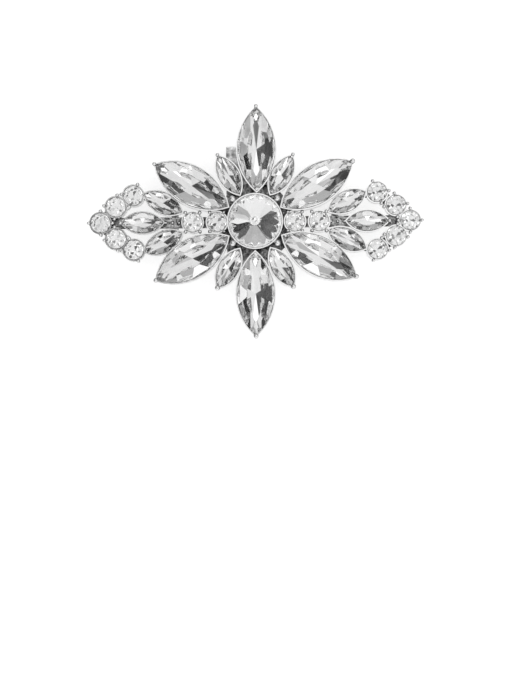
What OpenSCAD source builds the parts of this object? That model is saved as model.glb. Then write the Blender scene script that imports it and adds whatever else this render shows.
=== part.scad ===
// Shoe clip: cut stones in a cast metal setting, carried by a folded spring clip.
// A flower of six petal stones and four small ones round a pointed centre stone lies between
// two rows of round stones, two leaf sprays and two chevrons of round stones.
// X runs along the clip, Y across it towards the spring clip's fold, and Z up to the stones.
// The part lies on the spring clip, and the origin is on that surface under the middle.

/* [Petal stones] */
// Length of a petal stone, point to point
petal_l = 14.9; // [14.3:0.1:15.1]
// Width of a petal stone
petal_w = 6.7; // [6.2:0.1:6.9]
// Height of its faceted front above the girdle
petal_crown = 1.4; // [1:0.1:1.8]
// Depth of its pointed back below the girdle
petal_back = 1.6; // [1.4:0.1:1.8]
// Height of its girdle above the setting's underside
petal_rise = 3; // [2.9:0.05:3.4]

/* [Small marquise stones] */
// Length of a small marquise in the leaf sprays, point to point
small_l = 7.4; // [7:0.1:7.6]
// Length of a small marquise in the flower, point to point
star_l = 7.8; // [7.4:0.1:8]
// Width of a small marquise
small_w = 3.6; // [3.2:0.1:3.7]
// Height of its faceted front above the girdle
small_crown = 0.9; // [0.7:0.1:1.2]
// Depth of its pointed back below the girdle
small_back = 0.85; // [0.75:0.05:1]
// Height of the girdle in the flower above the setting's underside
small_rise = 2.6; // [2.2:0.05:2.9]
// Height of the girdle in the leaf sprays above the setting's underside
leaf_rise = 2.2; // [2:0.05:2.6]

/* [Round stones] */
// Diameter of a round stone
round_d = 3.5; // [3.2:0.05:3.55]
// Height of its faceted front above the girdle
round_crown = 0.8; // [0.6:0.1:1]
// Depth of its pointed back below the girdle
round_back = 1.5; // [1.2:0.1:1.7]
// Height of its girdle above the setting's underside
round_rise = 2.3; // [2:0.05:2.6]

/* [Centre stone] */
// Diameter of the pointed centre stone
centre_d = 9.4; // [9:0.1:9.4]
// Height of its pointed front above the girdle
centre_crown = 2.3; // [1.5:0.1:2.4]
// Depth of its pointed back below the girdle
centre_back = 2.1; // [2:0.1:3]
// Height of its girdle above the setting's underside
centre_rise = 4.3; // [3.8:0.1:5]

/* [Setting] */
// Thickness of the wall round each stone
wall = 0.22; // [0.2:0.01:0.26]
// Clearance between a stone and the metal round it
stone_gap = 0.06; // [0.05:0.01:0.07]
// Width of the ledge that a marquise or the centre stone sits on
ledge = 0.7; // [0.6:0.05:0.8]
// Width of the ledge that a round stone sits on
round_ledge = 0.55; // [0.45:0.05:0.6]
// Thickness of the bars and the plate that join the cups
bar_t = 0.8; // [0.6:0.05:0.9]
// Width of the bars
bar_w = 2; // [1.8:0.1:2.2]
// Radius of the round plate behind the flower
plate_r = 7; // [6.6:0.1:7.2]
// Radius of the bead that ends a round stone's prong
bead_r = 0.33; // [0.3:0.01:0.35]
// Radius of the four balls round the centre stone
ball_r = 0.56; // [0.5:0.01:0.6]

/* [Spring clip] */
// Width of the folded clip
clip_w = 8.5; // [8:0.1:8.8]
// Length of the folded clip
clip_l = 21.8; // [20:0.1:22]
// Height of the folded clip
clip_h = 4.5; // [4:0.1:5]
// Thickness of its metal strip
strip_t = 0.6; // [0.5:0.05:0.7]
// How far its middle lies left of the part's middle
clip_left = 0.85; // [0.6:0.05:0.9]
// Distance from the part's middle to the end of the fold
fold_reach = 13.9; // [13.3:0.1:14]
// Number of teeth along its mouth
tooth_count = 5; // [3:1:7]

/* [Hidden] */
// Sides that a curve is drawn with
$fn = 64;
// Straight steps along each side of a marquise cup, and round the spring clip's fold
arc_steps = 12;
fold_steps = 24;
// Angle and length of the clip's turned-up lip, and its distance inside the base's end
lip_angle = 48;
lip_l = 3;
lip_inset = 0.3;
// How far the ridges of a stone's back stand out past its facets
ridge_share = 1.1;
// Space between the spring clip's base and the setting that it carries
joint_gap = 0.04;
base_z = clip_h + joint_gap;
// Height of the flat band round a stone
girdle_t = 0.16;
// Overshoot of a cut past the face that it opens
over = 0.1;
// How far the middle leaf of a spray lies below the other two
middle_drop = 0.12;
// Height of the bars' undersides above the setting's
bar_lift = 0.24;
// Height at which the posts of prongs and claws start above the setting's underside
post_foot = 0.5;
// Height of the prong beads' middles above a girdle
bead_lift = 0.2;
// Share of its bead's radius that a post has, and how far it stands outside the bead's middle
post_share = 0.8;
post_out = 0.02;
// Radius of a claw's post, and its distance from the stone's point
claw_post_r = 0.24;
claw_post_gap = 0.06;
// How far a claw's ball reaches past the stone's point, and its height above the girdle's edge
claw_reach = 0.6;
claw_lift = 0.13;
// Height of the four balls' middles above the centre girdle, and their distance from its wall
ball_lift = 0.35;
ball_gap = 0.06;
// Width of the web that joins a ball's post to the wall, and how far it ends below the girdle
web_w = 0.6;
web_drop = 0.5;
// Inner end of the spine bars, and the width of the bars that cross or branch off
spine_start = 5;
thin_bar_w = 1.2;
// Place and half length of the bar across each leaf spray's inner ends
cross_x = 14.3;
cross_y = 3.2;
// Where a chevron's bar meets the outer leaf of its spray
leaf_join = [18.6, 4.6];
// Places and radius of the three tiny balls on each spine bar, and their height above its top
tiny_balls = [13.6, 14.8, 16];
tiny_r = 0.32;
tiny_lift = 0.1;
// Height at which every pocket is open above the setting
open_z = base_z + 9;

// Columns of a stone's cut: length, width, crown, back, table share along and across,
// height share of the crown's corners, depth share of the back's corners, main facets a side
LENGTH = 0;
WIDTH = 1;
CROWN = 2;
BACK = 3;
TABLE_L = 4;
TABLE_W = 5;
CORNER_UP = 6;
CORNER_DOWN = 7;
SIDES = 8;
PETAL = [petal_l, petal_w, petal_crown, petal_back, 0.66, 0.46, 0.25, 0.12, 3];
SMALL = [small_l, small_w, small_crown, small_back, 0.64, 0.46, 0.25, 0.12, 3];
STAR = [star_l, small_w, small_crown, small_back, 0.64, 0.46, 0.25, 0.12, 3];
ROUND = [round_d, round_d, round_crown, round_back, 0.54, 0.54, 0.5, 0.24, 3];
CENTRE = [centre_d, centre_d, centre_crown, centre_back, 0.06, 0.06, 0.06, 0.05, 7];

// Columns of a stone's place: name, cut, x, y, direction of its outer point, height of its
// girdle, how far the outer point dips, how far it rolls, the radius of its claw's ball, the
// angle of its prongs to its row, and the direction in which there is no room for a prong
NAME = 0;
CUT = 1;
X = 2;
Y = 3;
TURN = 4;
RISE = 5;
DIP = 6;
ROLL = 7;
CLAW = 8;
SPREAD = 9;
NO_PRONG = 10;
function petal(name, reach, way, turn, dip, roll, claw, shift = [0, 0]) =
    [name, PETAL, reach * cos(way) + shift.x, reach * sin(way) + shift.y, turn, petal_rise,
     dip, roll, claw];
function star(name, reach, way, dip, roll, claw) =
    [name, STAR, reach * cos(way), reach * sin(way), way, small_rise, dip, roll, claw];
function leaf(name, x, y, turn, dip, roll, claw = 0) =
    [name, SMALL, x, y, turn, leaf_rise - (y == 0 ? middle_drop : 0), dip, roll, claw];
function chaton(name, x, y, turn, dip, roll, spread = 45, no_prong = undef) =
    [name, ROUND, x, y, turn, round_rise, dip, roll, 0, spread, no_prong];

MARQUISES = [
    petal("petal_top", 12.9, 90, 90, 1.5, -1.2, 0.4, [0.35, 0]),
    petal("petal_upper_right", 12.9, 30.6, 32.1, 1.6, 1.5, 0.5),
    petal("petal_lower_right", 13, -29.5, -29.5, 1.2, -1.5, 0.48, [0.1, 0.1]),
    petal("petal_bottom", 12.9, 270, 270, 1.5, 1, 0.5),
    petal("petal_lower_left", 13, 210, 210.8, 1.4, 1.2, 0.45),
    petal("petal_upper_left", 13, 150, 149.5, 1.6, -1.4, 0.38),
    star("star_upper_right", 9.6, 60, 1.5, 1, 0.34),
    star("star_lower_right", 9.5, 300, 1, -1.5, 0.48),
    star("star_lower_left", 9.6, 240, 1.5, 1.5, 0.48),
    star("star_upper_left", 9.5, 119, 1, -2, 0.34),
    leaf("leaf_upper_left", -16.4, 3.5, 153.5, 1.5, -1),
    leaf("leaf_middle_left", -20.1, 0, 180, 1, 1, 0.36),
    leaf("leaf_lower_left", -16.4, -3.5, 206.5, 1, 1.5),
    leaf("leaf_upper_right", 16.45, 3.5, 26.5, 1, 1.5),
    leaf("leaf_middle_right", 20.1, 0, 0, 1.5, -1, 0.36),
    leaf("leaf_lower_right", 16.45, -3.25, -26.5, 1.5, -1.5)
];

// Distances of the row stones from the part's middle, and the angle of their prongs to the row
row_left = [6.8, 11.15];
row_right = [7.15, 11.45];
row_spread = 53;
// Places of the corner, second and end stones in the upper half of each chevron
CORNER = 0;
SECOND = 1;
END = 2;
chevron_left = [[27.6, 0], [24.85, 2.85], [21.7, 4.85]];
chevron_right = [[27.75, 0], [25.2, 2.75], [21.85, 5.1]];
function chevron_place(place, side, up) =
    let(p = (side < 0 ? chevron_left : chevron_right)[place])
    [side * p.x, up * p.y];
// Direction of each chevron stone's row, and the angle of an end stone's prongs to it
second_turn = 38;
end_turn = 31;
end_spread = 38;
ROUNDS = [
    chaton("row_left_outer", -row_left[1], 0, 0, 1, 0, row_spread),
    chaton("row_left_inner", -row_left[0], 0, 0, -1, 1, row_spread),
    chaton("row_right_inner", row_right[0], 0, 0, 1, -1, row_spread),
    chaton("row_right_outer", row_right[1], 0, 0, -1, 0, row_spread),
    for (side = [["left", -1], ["right", 1]], up = [["upper", 1], ["lower", -1]])
        let(p = chevron_place(END, side[1], up[1]))
        chaton(str("chevron_", up[0], "_end_", side[0]), p.x, p.y,
               -side[1] * up[1] * end_turn, side[1], up[1], end_spread,
               side[1] < 0 ? 0 : 180),
    for (side = [["left", -1], ["right", 1]], up = [["upper", 1], ["lower", -1]])
        let(p = chevron_place(SECOND, side[1], up[1]))
        chaton(str("chevron_", up[0], "_", side[0]), p.x, p.y,
               -side[1] * up[1] * second_turn, -side[1], up[1]),
    for (side = [["left", -1], ["right", 1]])
        let(p = chevron_place(CORNER, side[1], 1))
        chaton(str("chevron_corner_", side[0]), p.x, p.y, 45, side[1], 1)
];
CENTRE_STONE = ["centre_stone", CENTRE, 0, 0, 0, centre_rise, 0, 0, 0];
STONES = concat([CENTRE_STONE], MARQUISES, ROUNDS);

// Radius of the two arcs that outline a marquise, which for a round stone are one circle
function arc_r(l, w) = (l * l + w * w) / (4 * w);
// Number of main facets round a stone
function main_count(cut) = 2 * (cut[SIDES] + 1);
// Direction in which the outline faces at step t, counted in main facets from the outer point
function facing(cut, t) =
    let(half = asin(cut[LENGTH] / 2 / arc_r(cut[LENGTH], cut[WIDTH])),
        steps = cut[SIDES] + 1,
        side = floor(t / steps))
    90 - half + 2 * half * (t / steps - side) + 180 * side;
// Point of the outline at step t
function rim(cut, t) =
    let(r = arc_r(cut[LENGTH], cut[WIDTH]),
        side = t < cut[SIDES] + 1 ? 1 : -1,
        a = facing(cut, t))
    [r * cos(a), r * sin(a) - side * (r - cut[WIDTH] / 2)];
// Direction that main facet k faces. At a point of the stone it faces along the stone.
function main_way(cut, k) =
    k % (cut[SIDES] + 1) == 0 ? (k == 0 ? [1, 0] : [-1, 0])
    : [cos(facing(cut, k)), sin(facing(cut, k))];
// Distance of main facet k's line from the stone's middle at the girdle
function main_reach(cut, k) = main_way(cut, k) * rim(cut, k);
// How far main facet k leans in from the girdle to the table
function main_lean(cut, k) =
    k % (cut[SIDES] + 1) == 0 ? cut[LENGTH] / 2 * (1 - cut[TABLE_L])
    : cut[WIDTH] / 2 * (1 - cut[TABLE_W]);
// Where two lines cross, each given by its direction and its distance from the middle
function crossing(way_a, reach_a, way_b, reach_b) =
    [reach_a * way_b.y - reach_b * way_a.y, way_a.x * reach_b - way_b.x * reach_a]
    / cross(way_a, way_b);
// Corner between main facets k and k + 1 of the front, at a share of its height
function front_corner(cut, k, share) =
    let(next = (k + 1) % main_count(cut))
    crossing(main_way(cut, k), main_reach(cut, k) - main_lean(cut, k) * share,
             main_way(cut, next), main_reach(cut, next) - main_lean(cut, next) * share);
// Corner between main facets k and k + 1 of the back, at a share of its depth
function back_corner(cut, k) =
    let(next = (k + 1) % main_count(cut))
    (1 - cut[CORNER_DOWN])
    * crossing(main_way(cut, k), main_reach(cut, k), main_way(cut, next),
               main_reach(cut, next));
function at_height(p, z) = [p.x, p.y, z];

// One cut stone about the middle of its girdle, with its outer point along +X.
// On a stepped front the main facets meet the table along its edges. On a brilliant front
// they only touch its corners, with a ring of star facets between them.
module cut_stone(cut, stepped) {
    n = main_count(cut);
    top_z = girdle_t / 2;
    ring = [for (k = [0:n - 1]) k];
    table = [for (k = ring)
        at_height(stepped ? front_corner(cut, k, 1)
                  : rim(cut, k) - main_lean(cut, k) * main_way(cut, k), top_z + cut[CROWN])];
    corners = [for (k = ring)
        at_height(front_corner(cut, k, cut[CORNER_UP]), top_z + cut[CROWN] * cut[CORNER_UP])];
    band = [for (z = [top_z, -top_z], step = [0, 0.5], k = ring)
        at_height(rim(cut, k + step), z)];
    under = [for (k = ring)
        at_height(back_corner(cut, k), -top_z - cut[BACK] * cut[CORNER_DOWN])];
    // First index of each ring of points
    corner = n;
    top_main = 2 * n;
    top_half = 3 * n;
    low_main = 4 * n;
    low_half = 5 * n;
    back = 6 * n;
    culet = 7 * n;
    front_faces = [for (k = ring) let(next = (k + 1) % n, last = (k + n - 1) % n)
        each stepped ? [[last, k, corner + k, top_main + k, corner + last]]
        : [[k, next, corner + k], [k, corner + k, top_main + k, corner + last]]];
    other_faces = [for (k = ring) let(next = (k + 1) % n, last = (k + n - 1) % n)
        each [[corner + k, top_half + k, top_main + k],
              [corner + k, top_main + next, top_half + k],
              [top_main + k, top_half + k, low_half + k, low_main + k],
              [top_half + k, top_main + next, low_main + next, low_half + k],
              [back + k, low_main + k, low_half + k],
              [back + k, low_half + k, low_main + next],
              [culet, back + last, low_main + k, back + k]]];
    polyhedron(concat(table, corners, band, under, [[0, 0, -top_z - cut[BACK]]]),
               concat([[for (k = ring) n - 1 - k]], front_faces, other_faces));
}

// Puts what is drawn about a stone's middle at that stone's place
module at_stone(s) {
    translate([s[X], s[Y], base_z + s[RISE]]) rotate([0, 0, s[TURN]]) children();
}

module stone(s) {
    color("whitesmoke")
    at_stone(s) rotate([s[ROLL], s[DIP], 0]) cut_stone(s[CUT], s[CUT] != ROUND);
}

// A prism between two heights with a stone's outline, moved out by grow
module outline(cut, grow, z0, z1) {
    r = arc_r(cut[LENGTH], cut[WIDTH]);
    shift = r - cut[WIDTH] / 2;
    half = acos(shift / (r + grow));
    arc = [for (i = [0:arc_steps - 1])
        let(a = 90 - half + 2 * half * i / arc_steps)
        [(r + grow) * cos(a), (r + grow) * sin(a) - shift]];
    translate([0, 0, z0])
    if (cut[LENGTH] == cut[WIDTH])
        cylinder(h = z1 - z0, r = r + grow);
    else
        linear_extrude(z1 - z0) polygon(concat(arc, -arc));
}

// How far a tipped stone's point moves up or down
function tip_drop(s) = s[CUT][LENGTH] / 2 * sin(s[DIP]);
// Width of the ledge under a stone
function ledge_w(s) = s[CUT] == ROUND ? round_ledge : ledge;
// Depth below the girdle at which the ledge clears the ridges of the stone's back
function ledge_depth(s) =
    girdle_t / 2 + stone_gap + abs(tip_drop(s)) / 2
    + s[CUT][BACK] * (1 - (1 - 2 * ledge_w(s) / s[CUT][WIDTH]) / ridge_share);

// How far a cup's underside stays above the setting's. Lower stones have shallower cups.
function cup_lift(s) = max(0.03, 0.06 + 0.3 * (petal_rise - s[RISE]));

// The metal round and under one stone
module cup(s) {
    at_stone(s) outline(s[CUT], stone_gap + wall, cup_lift(s) - s[RISE], girdle_t / 2);
}

// The plate, the bars and the cups of stones 0 to last, each cup joined to those before it
module joined_cups(last) {
    if (last > 0) {
        joined_cups(last - 1);
    } else {
        flower_back();
        frame_bars();
    }
    cup(STONES[last]);
}

// What is cut out for one stone: its pocket, and the opening behind it
module pocket(s) {
    at_stone(s) {
        outline(s[CUT], stone_gap, -ledge_depth(s), open_z);
        outline(s[CUT], -ledge_w(s), -s[RISE] - over, -ledge_depth(s) + over);
    }
}

// Post and ball that hold a marquise at its outer point
module claw(s) {
    r = s[CLAW];
    tip = s[CUT][LENGTH] / 2;
    ball_z = girdle_t / 2 - tip_drop(s) + r + claw_lift;
    at_stone(s) {
        translate([tip + claw_post_gap + claw_post_r, 0, post_foot - s[RISE]])
        cylinder(h = s[RISE] - post_foot + ball_z, r = claw_post_r);
        translate([tip + claw_reach - r, 0, ball_z]) sphere(r);
    }
}

// Directions of a round stone's prongs about its own place, without one that has no room
function prong_ways(s) =
    [for (end = [0, 180], side = [-1, 1])
        let(a = end + side * s[SPREAD])
        if (is_undef(s[NO_PRONG]) || cos(s[TURN] + a - s[NO_PRONG]) < cos(30)) a];

// The prongs of a round stone, each a post with a bead on it
module prongs(s) {
    reach = s[CUT][WIDTH] / 2 + stone_gap + bead_r;
    at_stone(s)
    for (a = prong_ways(s)) rotate([0, 0, a]) {
        translate([reach + post_out, 0, post_foot - s[RISE]])
        cylinder(h = s[RISE] - post_foot + bead_lift, r = bead_r * post_share);
        translate([reach, 0, bead_lift]) sphere(bead_r);
    }
}

// A flat bar along the setting's underside from point a to point b
module bar(a, b, w = bar_w) {
    run = b - a;
    translate([a.x, a.y, base_z + bar_lift]) rotate([0, 0, atan2(run.y, run.x)])
    translate([0, -w / 2, 0]) cube([norm(run), w, bar_t]);
}

// Plate behind the centre stone, and the four balls round it
module flower_back() {
    translate([0, 0, base_z]) cylinder(h = bar_t, r = plate_r);
    ball_reach = centre_d / 2 + stone_gap + wall + ball_gap + ball_r;
    for (a = [45:90:315]) rotate([0, 0, a]) {
        translate([ball_reach, 0, base_z + post_foot])
        cylinder(h = centre_rise + ball_lift - post_foot, r = ball_r * post_share);
        translate([ball_reach, 0, base_z + centre_rise + ball_lift]) sphere(ball_r);
        translate([centre_d / 2, -web_w / 2, base_z + post_foot])
        cube([ball_reach - centre_d / 2, web_w, centre_rise - web_drop - post_foot]);
    }
}

// Bars that join the rows, the leaf sprays and the chevrons to the flower
module frame_bars() {
    for (side = [-1, 1]) {
        corner = chevron_place(CORNER, side, 1);
        bar([side * spine_start, 0], corner);
        bar([side * cross_x, -cross_y], [side * cross_x, cross_y], thin_bar_w);
        for (up = [-1, 1]) {
            second = chevron_place(SECOND, side, up);
            end = chevron_place(END, side, up);
            bar(corner, second);
            bar(second, end);
            bar(end, [side * leaf_join.x, up * leaf_join.y], thin_bar_w);
        }
        for (x = tiny_balls)
            translate([side * x, 0, base_z + bar_lift + bar_t + tiny_lift]) sphere(tiny_r);
    }
}

module setting() {
    color("silver") {
        difference() {
            union() {
                joined_cups(len(STONES) - 1);
                for (s = ROUNDS) prongs(s);
            }
            for (s = STONES) pocket(s);
        }
        for (s = MARQUISES) if (s[CLAW] > 0) claw(s);
    }
}

// One side of the folded strip in Y and Z, from its mouth round the fold and back to its lip.
// depth is how far that side lies inside the strip's outer side.
function strip_side(depth) =
    let(fold_r = clip_h / 2,
        fold_y = fold_reach - fold_r,
        mouth_y = fold_reach - clip_l,
        lip_y = mouth_y + lip_inset + lip_l * cos(lip_angle),
        corner_y = lip_y + depth * tan(lip_angle / 2))
    concat([[mouth_y, clip_h - depth]],
           [for (i = [0:fold_steps])
               let(a = 90 - 180 * i / fold_steps)
               [fold_y + (fold_r - depth) * cos(a), fold_r + (fold_r - depth) * sin(a)]],
           [[corner_y, depth],
            [corner_y - lip_l * cos(lip_angle), depth + lip_l * sin(lip_angle)]]);
function reversed(list) = [for (i = [len(list) - 1:-1:0]) list[i]];

// The folded strip: base, fold, flap and a toothed mouth
module spring_clip() {
    tooth_w = clip_w / (2 * tooth_count - 1);
    tooth_z = lip_l * sin(lip_angle) - tooth_w;
    mouth_y = fold_reach - clip_l;
    color("lightgray")
    translate([-clip_left - clip_w / 2, 0, 0])
    difference() {
        rotate([90, 0, 90]) linear_extrude(clip_w)
        polygon(concat(strip_side(0), reversed(strip_side(strip_t))));
        for (i = [1:tooth_count - 1])
            translate([(2 * i - 1) * tooth_w, mouth_y - 1, tooth_z])
            cube([tooth_w, 2, clip_h - strip_t - over - tooth_z]);
    }
}

setting();
spring_clip();
for (s = STONES) stone(s);
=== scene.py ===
"""Looks of the shoe clip: cut clear stones with silvered backs, cast silver metal, and a studio."""
import math

import bmesh
import bpy
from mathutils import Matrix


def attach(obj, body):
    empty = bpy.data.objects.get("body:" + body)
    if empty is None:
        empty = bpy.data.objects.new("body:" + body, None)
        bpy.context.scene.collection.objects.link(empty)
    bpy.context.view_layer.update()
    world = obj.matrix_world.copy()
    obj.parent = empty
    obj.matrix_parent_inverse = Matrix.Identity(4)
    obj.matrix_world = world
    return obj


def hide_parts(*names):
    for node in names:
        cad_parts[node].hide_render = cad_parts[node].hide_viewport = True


MM = 0.001

# The photograph's frame: its size, the pixel under the part's origin, its scale at the stones'
# girdles and how far the clip is turned in it
IMAGE_W, IMAGE_H = 516, 688
ORIGIN_PX = (255.0, 221.6)
PX_PER_MM = 5.6
TURN_DEG = 0.55
GIRDLE_Z = 7.0 * MM
LENS_MM = 100.0
SENSOR_MM = 36.0

# Studio surroundings as round cards in a plain room: azimuth from the part's right, elevation,
# half width of the card, all in degrees, and its brightness
ROOM_LEVEL = 0.86
CARD_EDGE = 2.0
CARDS = [
    (280, 6, 42, 0.95),
    (92, -12, 40, 0.44),
    (166, 4, 42, 0.03),
    (178, 36, 18, 0.04),
    (29, 2, 25, 0.03),
    (192, 4, 7, 0.18),
    (328, 14, 12, 0.5),
    (275, 31, 13, 1.5),
    (332, 34, 9, 1.3),
    (128, 52, 9, 0.05),
    (60, 55, 6, 0.2),
    (345, 44, 6, 0.4),
    (280, 58, 9, 0.08),
    (312, 68, 6, 0.05),
    (322, 51, 6, 1.3),
    (90, 48, 9, 1.3),
    (172, 57, 8, 1.2),
    (22, 60, 9, 1.5),
    (205, 68, 5, 0.3),
    (0, 90, 11, 1.0),
    (60, 76, 6, 1.8),
    (172, 83, 4, 0.1),
    (270, 74, 4, 0.1),
    (0, 7, 7, 1.1),
]

# Heights from the plate behind the centre stone, by way of the bars, to the cups and balls
LOW_METAL, HIGH_METAL = 5.3 * MM, 5.7 * MM
# Painted shade, the grey levels that darken the casting's colour: from low to high, from a side to
# a face that looks straight up, and from a recess to the open. Each stop is a place on that way
# and a level.
PAINTED_SHADE_BY_HEIGHT = [(0.15, 0.26), (0.72, 0.42), (0.95, 1.0)]
PAINTED_SHADE_BY_LEAN = [(0.2, 0.42), (0.85, 1.0)]
PAINTED_SHADE_BY_RECESS = [(0.08, 0.1), (0.28, 0.48), (0.5, 0.86)]
# How far the ambient occlusion reaches for the painted shade in the casting's recesses
PAINTED_SHADE_REACH = 0.9 * MM
# Sizes of the surfaces' fine patterns, as repeats in a metre, and the depths of the metal's relief
CAST_GRAIN = 900
HAMMER_MARKS = 1000
BRUSH_MARKS = (4000, 120, 4000)
PLATING_PATCHES = 1100
DUST = 600
FOIL_CLOUDS = 350
GRAIN_DEPTH = 0.05 * MM
DENT_DEPTH = 0.4 * MM
# Refractive index of crystal glass
GLASS_IOR = 1.56
# Faces of a stone that look up by less than this are silvered, so that its girdle is too
FRONT_SLOPE = 0.3
# Corners of a stone nearer than this are one, and faces that turn less than this are one facet
SAME_CORNER = 0.001 * MM
SAME_FACET_DEG = 0.5
# How often light may turn inside a stone before it is lost
LIGHT_TURNS = 24
# Half the floor's side in metres, its own grey, and the glow that keeps it near white
FLOOR_HALF = 1.5
FLOOR_GREY = 0.6
FLOOR_GLOW = 0.75


def add_camera():
    """A long lens straight above, placed so that the clip falls where the photo has it."""
    data = bpy.data.cameras.new("camera")
    data.lens = LENS_MM
    data.sensor_width = SENSOR_MM
    frame_h = IMAGE_H / PX_PER_MM * MM
    height = frame_h * LENS_MM / SENSOR_MM
    right = (IMAGE_W / 2 - ORIGIN_PX[0]) / PX_PER_MM * MM
    up = (ORIGIN_PX[1] - IMAGE_H / 2) / PX_PER_MM * MM
    turn = math.radians(TURN_DEG)
    camera = bpy.data.objects.new("camera", data)
    camera.location = (right * math.cos(turn) + up * math.sin(turn),
                       up * math.cos(turn) - right * math.sin(turn), GIRDLE_Z + height)
    camera.rotation_euler = (0, 0, -turn)
    data.clip_start, data.clip_end = 0.01, 10
    bpy.context.collection.objects.link(camera)
    bpy.context.scene.camera = camera


class Nodes:
    """Short calls for building one node tree."""

    def __init__(self, tree):
        self.tree = tree

    def add(self, kind, **values):
        node = self.tree.nodes.new(kind)
        for name, value in values.items():
            setattr(node, name, value)
        return node

    def link(self, source, target):
        self.tree.links.new(source, target)


def new_material(name):
    """A material with a Principled shader, with its tree's helper and its shader node."""
    material = bpy.data.materials.new(name)
    material.use_nodes = True
    nodes = Nodes(material.node_tree)
    return material, nodes, material.node_tree.nodes["Principled BSDF"]


def noise(nodes, vector, scale, detail=2.0):
    """Cloudy noise over a vector. Returns its value."""
    node = nodes.add("ShaderNodeTexNoise")
    node.inputs["Scale"].default_value = scale
    node.inputs["Detail"].default_value = detail
    nodes.link(vector, node.inputs["Vector"])
    return node.outputs["Fac"]


def ramp(nodes, source, target, stops):
    """Sends a value to a target through a ramp of stops, each a place and a grey level."""
    node = nodes.add("ShaderNodeValToRGB")
    node.color_ramp.elements[0].position = stops[0][0]
    node.color_ramp.elements[1].position = stops[-1][0]
    for place, _ in stops[1:-1]:
        node.color_ramp.elements.new(place)
    for element, (_, level) in zip(node.color_ramp.elements, stops):
        element.color = (level, level, level, 1)
    nodes.link(source, node.inputs["Fac"])
    nodes.link(node.outputs["Color"], target)


def multiply(nodes, shades):
    """The product of ramps, each given by its value and its stops."""
    colour = None
    for source, stops in shades:
        shade = nodes.add("ShaderNodeMix", data_type="RGBA", blend_type="MULTIPLY")
        shade.inputs["Factor"].default_value = 1.0
        shade.inputs["A"].default_value = (1, 1, 1, 1)
        if colour:
            nodes.link(colour, shade.inputs["A"])
        ramp(nodes, source, shade.inputs["B"], stops)
        colour = shade.outputs["Result"]
    return colour


def cast_silver():
    """Polished silver-coloured casting, hammered low down, with shade painted in low down, on its
    sides and in recesses.
    """
    material, nodes, shader = new_material("cast_silver")
    shader.inputs["Metallic"].default_value = 1.0
    place = nodes.add("ShaderNodeTexCoord")
    spot = nodes.add("ShaderNodeSeparateXYZ")
    lean = nodes.add("ShaderNodeSeparateXYZ")
    nodes.link(place.outputs["Object"], spot.inputs["Vector"])
    nodes.link(place.outputs["Normal"], lean.inputs["Vector"])
    height = nodes.add("ShaderNodeMapRange")
    height.inputs["From Min"].default_value = LOW_METAL
    height.inputs["From Max"].default_value = HIGH_METAL
    nodes.link(spot.outputs["Z"], height.inputs["Value"])

    grain = noise(nodes, place.outputs["Object"], CAST_GRAIN, detail=3.0)
    ramp(nodes, grain, shader.inputs["Roughness"], [(0.3, 0.06), (0.7, 0.16)])
    uneven = nodes.add("ShaderNodeBump")
    uneven.inputs["Strength"].default_value = 0.25
    uneven.inputs["Distance"].default_value = GRAIN_DEPTH
    nodes.link(grain, uneven.inputs["Height"])
    hammer = nodes.add("ShaderNodeTexVoronoi")
    hammer.inputs["Scale"].default_value = HAMMER_MARKS
    nodes.link(place.outputs["Object"], hammer.inputs["Vector"])
    dents = nodes.add("ShaderNodeBump", invert=True)
    dents.inputs["Distance"].default_value = DENT_DEPTH
    nodes.link(hammer.outputs["Distance"], dents.inputs["Height"])
    nodes.link(uneven.outputs["Normal"], dents.inputs["Normal"])
    ramp(nodes, height.outputs["Result"], dents.inputs["Strength"], [(0.72, 0.7), (1.0, 0.0)])
    nodes.link(dents.outputs["Normal"], shader.inputs["Normal"])

    # Ambient occlusion that paints shade into the casting's recesses
    painted_recess_shade = nodes.add("ShaderNodeAmbientOcclusion", samples=6)
    painted_recess_shade.inputs["Distance"].default_value = PAINTED_SHADE_REACH
    # Painted shade: the base colour is darkened low down, on the casting's sides and in its
    # recesses
    colour = multiply(nodes, [(height.outputs["Result"], PAINTED_SHADE_BY_HEIGHT),
                              (lean.outputs["Z"], PAINTED_SHADE_BY_LEAN),
                              (painted_recess_shade.outputs["AO"], PAINTED_SHADE_BY_RECESS)])
    nodes.link(colour, shader.inputs["Base Color"])
    return material


def plated_steel():
    """Satin plated strip of the spring clip, brushed along its length, dull in patches."""
    material, nodes, shader = new_material("plated_steel")
    shader.inputs["Metallic"].default_value = 1.0
    place = nodes.add("ShaderNodeTexCoord")
    stretch = nodes.add("ShaderNodeMapping")
    stretch.inputs["Scale"].default_value = BRUSH_MARKS
    nodes.link(place.outputs["Object"], stretch.inputs["Vector"])
    brushed = noise(nodes, stretch.outputs["Vector"], 1.0)
    ramp(nodes, brushed, shader.inputs["Roughness"], [(0.3, 0.22), (0.7, 0.42)])
    patches = noise(nodes, place.outputs["Object"], PLATING_PATCHES, detail=4.0)
    ramp(nodes, patches, shader.inputs["Base Color"], [(0.36, 0.2), (0.5, 0.5), (0.62, 0.78)])
    return material


def clear_glass():
    """The faceted front of a stone, polished, with a breath of dust on it."""
    material, nodes, shader = new_material("clear_glass")
    shader.inputs["Base Color"].default_value = (1, 1, 1, 1)
    shader.inputs["IOR"].default_value = GLASS_IOR
    shader.inputs["Transmission Weight"].default_value = 1.0
    place = nodes.add("ShaderNodeTexCoord")
    dust = noise(nodes, place.outputs["Object"], DUST)
    ramp(nodes, dust, shader.inputs["Roughness"], [(0.5, 0.0), (0.75, 0.01)])
    return material


def silver_foil():
    """The silvered back of a stone, seen through its front, not quite even."""
    material, nodes, shader = new_material("silver_foil")
    shader.inputs["Metallic"].default_value = 1.0
    place = nodes.add("ShaderNodeTexCoord")
    cloud = noise(nodes, place.outputs["Object"], FOIL_CLOUDS)
    ramp(nodes, cloud, shader.inputs["Base Color"], [(0.3, 0.87), (0.7, 0.93)])
    ramp(nodes, cloud, shader.inputs["Roughness"], [(0.3, 0.03), (0.7, 0.015)])
    return material


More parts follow.
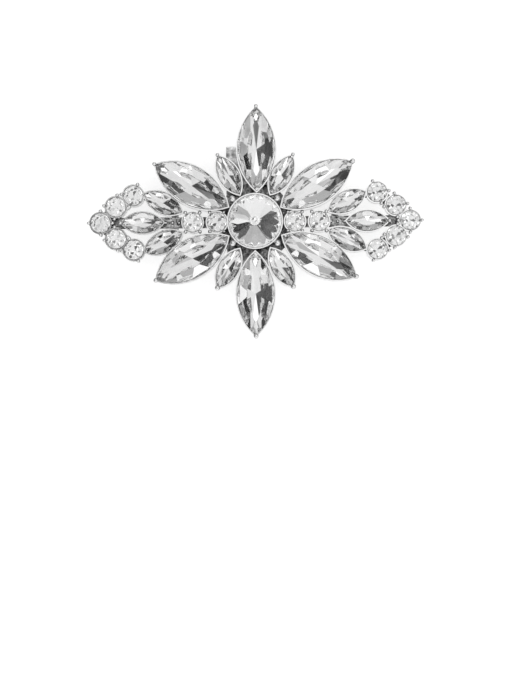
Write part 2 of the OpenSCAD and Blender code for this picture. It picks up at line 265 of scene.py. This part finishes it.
def add_stone(node, glass, foil):
    """A cut stone in its node's place: its faceted front clear, its pointed back silvered."""
    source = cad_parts[node]
    mesh = bpy.data.meshes.new(node + "_cut")
    work = bmesh.new()
    work.from_mesh(source.data)
    bmesh.ops.remove_doubles(work, verts=work.verts, dist=SAME_CORNER)
    bmesh.ops.dissolve_limit(work, angle_limit=math.radians(SAME_FACET_DEG), verts=work.verts,
                             edges=work.edges)
    for face in work.faces:
        face.smooth = False
        face.normal_update()
        face.material_index = 1 if face.normal.z < FRONT_SLOPE else 0
    work.to_mesh(mesh)
    work.free()
    mesh.materials.append(glass)
    mesh.materials.append(foil)
    stone = bpy.data.objects.new(node + "_cut", mesh)
    bpy.context.collection.objects.link(stone)
    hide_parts(node)
    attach(stone, "root")


def set_material(node, material):
    """Gives a node's own object a material."""
    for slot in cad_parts[node].material_slots:
        slot.material = material


def add_floor():
    """A plain floor that stays near white, with a faint shadow where the clip rests."""
    mesh = bpy.data.meshes.new("floor")
    corners = [(-FLOOR_HALF, -FLOOR_HALF, 0), (FLOOR_HALF, -FLOOR_HALF, 0),
               (FLOOR_HALF, FLOOR_HALF, 0), (-FLOOR_HALF, FLOOR_HALF, 0)]
    mesh.from_pydata(corners, [], [(0, 1, 2, 3)])
    floor = bpy.data.objects.new("floor", mesh)
    bpy.context.collection.objects.link(floor)
    material, _, shader = new_material("white_floor")
    shader.inputs["Base Color"].default_value = (FLOOR_GREY, FLOOR_GREY, FLOOR_GREY, 1)
    shader.inputs["Roughness"].default_value = 0.9
    shader.inputs["Emission Color"].default_value = (1, 1, 1, 1)
    shader.inputs["Emission Strength"].default_value = FLOOR_GLOW
    mesh.materials.append(material)


def add_studio():
    """The room and its cards, drawn on the sky by direction, each card with a soft edge."""
    world = bpy.data.worlds.new("studio")
    bpy.context.scene.world = world
    world.use_nodes = True
    nodes = Nodes(world.node_tree)
    background = world.node_tree.nodes["Background"]
    place = nodes.add("ShaderNodeTexCoord")
    room = nodes.add("ShaderNodeRGB")
    room.outputs["Color"].default_value = (ROOM_LEVEL, ROOM_LEVEL, ROOM_LEVEL, 1)
    colour = room.outputs["Color"]
    for azimuth, elevation, half, level in CARDS:
        turn, lift = math.radians(azimuth), math.radians(elevation)
        towards = nodes.add("ShaderNodeVectorMath", operation="DOT_PRODUCT")
        towards.inputs[1].default_value = (math.cos(turn) * math.cos(lift),
                                           math.sin(turn) * math.cos(lift), math.sin(lift))
        edge = nodes.add("ShaderNodeMapRange", interpolation_type="SMOOTHSTEP")
        edge.inputs["From Min"].default_value = math.cos(math.radians(half + CARD_EDGE))
        edge.inputs["From Max"].default_value = math.cos(math.radians(half - CARD_EDGE))
        mix = nodes.add("ShaderNodeMix", data_type="RGBA")
        mix.inputs["B"].default_value = (level, level, level, 1)
        nodes.link(place.outputs["Generated"], towards.inputs[0])
        nodes.link(towards.outputs["Value"], edge.inputs["Value"])
        nodes.link(edge.outputs["Result"], mix.inputs["Factor"])
        nodes.link(colour, mix.inputs["A"])
        colour = mix.outputs["Result"]
    nodes.link(colour, background.inputs["Color"])


def set_look():
    """Plain tones, and enough turns of light for the stones."""
    scene = bpy.context.scene
    scene.view_settings.view_transform = "Standard"
    scene.view_settings.look = "None"
    scene.cycles.max_bounces = LIGHT_TURNS
    scene.cycles.glossy_bounces = LIGHT_TURNS
    scene.cycles.transmission_bounces = LIGHT_TURNS


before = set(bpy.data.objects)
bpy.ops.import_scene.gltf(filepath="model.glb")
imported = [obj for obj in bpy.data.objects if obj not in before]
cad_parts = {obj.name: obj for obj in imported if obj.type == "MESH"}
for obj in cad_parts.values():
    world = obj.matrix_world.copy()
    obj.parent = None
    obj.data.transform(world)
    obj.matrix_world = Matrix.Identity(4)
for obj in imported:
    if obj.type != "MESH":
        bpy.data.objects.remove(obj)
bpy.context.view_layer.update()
add_camera()
set_look()
glass = clear_glass()
foil = silver_foil()
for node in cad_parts:
    if node not in ("setting", "spring_clip"):
        add_stone(node, glass, foil)
set_material("setting", cast_silver())
set_material("spring_clip", plated_steel())
add_floor()
add_studio()
